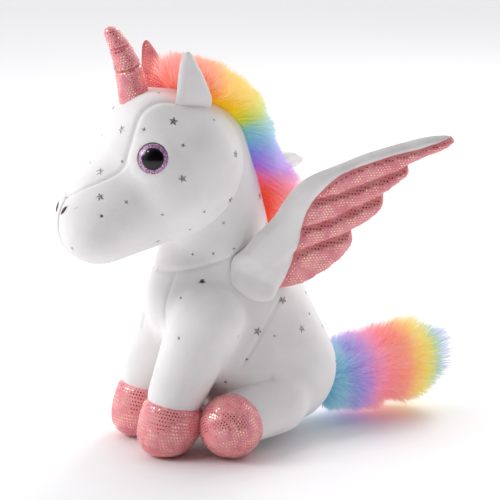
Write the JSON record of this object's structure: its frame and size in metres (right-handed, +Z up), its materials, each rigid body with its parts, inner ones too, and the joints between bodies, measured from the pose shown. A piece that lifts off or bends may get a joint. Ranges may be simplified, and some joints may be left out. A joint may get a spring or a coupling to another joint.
{
  "type": "plush winged unicorn",
  "caption": "Sitting stuffed unicorn toy with wings, foil-dot hooves, horn and ears, rainbow long-pile mane and tail and domed eyes; head, ears, wings, legs and tail bend on their seams.",
  "frame": {"origin": "middle of the flat seat, on the surface the toy sits on", "axes": "the toy faces -Y, its left side is +X, +Z is up"},
  "size_m": [0.2368, 0.307, 0.2991],
  "materials": {
    "plush_white": "matte",
    "foil_dot_pink": "satin",
    "stuffing": "matte",
    "long_pile": "matte",
    "lens": "gloss",
    "iris": "gloss",
    "washer": "matte",
    "brown_thread": "satin",
    "pink_thread": "satin",
    "pellet_pouch": "matte"
  },
  "bodies": {
    "torso": {"body_side_left": "plush_white", "body_side_right": "plush_white", "chest_gusset": "plush_white", "seat_base": "plush_white", "body_stuffing": "stuffing", "pellet_bag": "pellet_pouch", "mane_neck_fur": "long_pile"},
    "head": {"head_side_left": "plush_white", "head_side_right": "plush_white", "head_gusset": "plush_white", "head_stuffing": "stuffing", "mane_head_fur": "long_pile", "eye_left_lens": "lens", "eye_left_iris": "iris", "eye_left_washer": "washer", "eye_right_lens": "lens", "eye_right_iris": "iris", "eye_right_washer": "washer", "nostril_left": "brown_thread", "nostril_right": "brown_thread"},
    "horn": {"horn_cover": "foil_dot_pink", "horn_stuffing": "stuffing", "horn_thread": "pink_thread"},
    "tail": {"tail_core": "plush_white", "tail_fur": "long_pile"},
    "ear_left": {"ear_left_back": "plush_white", "ear_left_lining": "foil_dot_pink"},
    "wing_left": {"wing_left_back": "plush_white", "wing_left_arm": "plush_white", "wing_left_feathers": "foil_dot_pink", "wing_left_filling": "stuffing"},
    "front_leg_left": {"front_leg_left_cover": "plush_white", "front_hoof_left_cover": "foil_dot_pink", "front_sole_left": "foil_dot_pink", "front_leg_left_stuffing": "stuffing"},
    "hind_leg_left": {"hind_leg_left_cover": "plush_white", "hind_hoof_left_cover": "foil_dot_pink", "hind_sole_left": "foil_dot_pink", "hind_leg_left_stuffing": "stuffing"},
    "ear_right": {"ear_right_back": "plush_white", "ear_right_lining": "foil_dot_pink"},
    "wing_right": {"wing_right_back": "plush_white", "wing_right_arm": "plush_white", "wing_right_feathers": "foil_dot_pink", "wing_right_filling": "stuffing"},
    "front_leg_right": {"front_leg_right_cover": "plush_white", "front_hoof_right_cover": "foil_dot_pink", "front_sole_right": "foil_dot_pink", "front_leg_right_stuffing": "stuffing"},
    "hind_leg_right": {"hind_leg_right_cover": "plush_white", "hind_hoof_right_cover": "foil_dot_pink", "hind_sole_right": "foil_dot_pink", "hind_leg_right_stuffing": "stuffing"}
  },
  "joints": [
    {"name": "neck_nod", "type": "hinge", "parent": "torso", "child": "head", "pos_m": [0, -0.038, 0.158], "axis": [1, 0, 0], "range_deg": [-8, 7], "stiffness_Nm_per_rad": 4},
    {"name": "horn_bend", "type": "hinge", "parent": "head", "child": "horn", "pos_m": [0, -0.098, 0.25], "axis": [1, 0, 0], "range_deg": [-8, 8], "stiffness_Nm_per_rad": 0.15},
    {"name": "ear_left_flop", "type": "hinge", "parent": "head", "child": "ear_left", "pos_m": [0.03, -0.066, 0.25], "axis": [0, 1, 0], "range_deg": [-15, 25], "stiffness_Nm_per_rad": 0.05},
    {"name": "ear_right_flop", "type": "hinge", "parent": "head", "child": "ear_right", "pos_m": [-0.03, -0.066, 0.25], "axis": [0, -1, 0], "range_deg": [-15, 25], "stiffness_Nm_per_rad": 0.05},
    {"name": "wing_left_flap", "type": "hinge", "parent": "torso", "child": "wing_left", "pos_m": [0.037, -0.026, 0.122], "axis": [0, 0.8387, -0.5446], "range_deg": [-3, 32], "stiffness_Nm_per_rad": 0.9},
    {"name": "wing_right_flap", "type": "hinge", "parent": "torso", "child": "wing_right", "pos_m": [-0.037, -0.026, 0.122], "axis": [0, -0.7071, 0.7071], "range_deg": [-14, 10], "stiffness_Nm_per_rad": 0.9},
    {"name": "tail_wag", "type": "hinge", "parent": "torso", "child": "tail", "pos_m": [0, 0.044, 0.027], "axis": [0, 0, 1], "range_deg": [-25, 25], "stiffness_Nm_per_rad": 0.3},
    {"name": "front_leg_left_swing", "type": "hinge", "parent": "torso", "child": "front_leg_left", "pos_m": [0.028, -0.057, 0.096], "axis": [-1, 0, 0], "range_deg": [0, 20], "stiffness_Nm_per_rad": 0.6},
    {"name": "front_leg_right_swing", "type": "hinge", "parent": "torso", "child": "front_leg_right", "pos_m": [-0.028, -0.057, 0.096], "axis": [-1, 0, 0], "range_deg": [0, 20], "stiffness_Nm_per_rad": 0.6},
    {"name": "hind_leg_left_splay", "type": "hinge", "parent": "torso", "child": "hind_leg_left", "pos_m": [0.031, -0.007, 0.033], "axis": [0, 0, 1], "range_deg": [0, 18], "stiffness_Nm_per_rad": 0.6},
    {"name": "hind_leg_right_splay", "type": "hinge", "parent": "torso", "child": "hind_leg_right", "pos_m": [-0.031, -0.007, 0.033], "axis": [0, 0, -1], "range_deg": [0, 18], "stiffness_Nm_per_rad": 0.6}
  ]
}
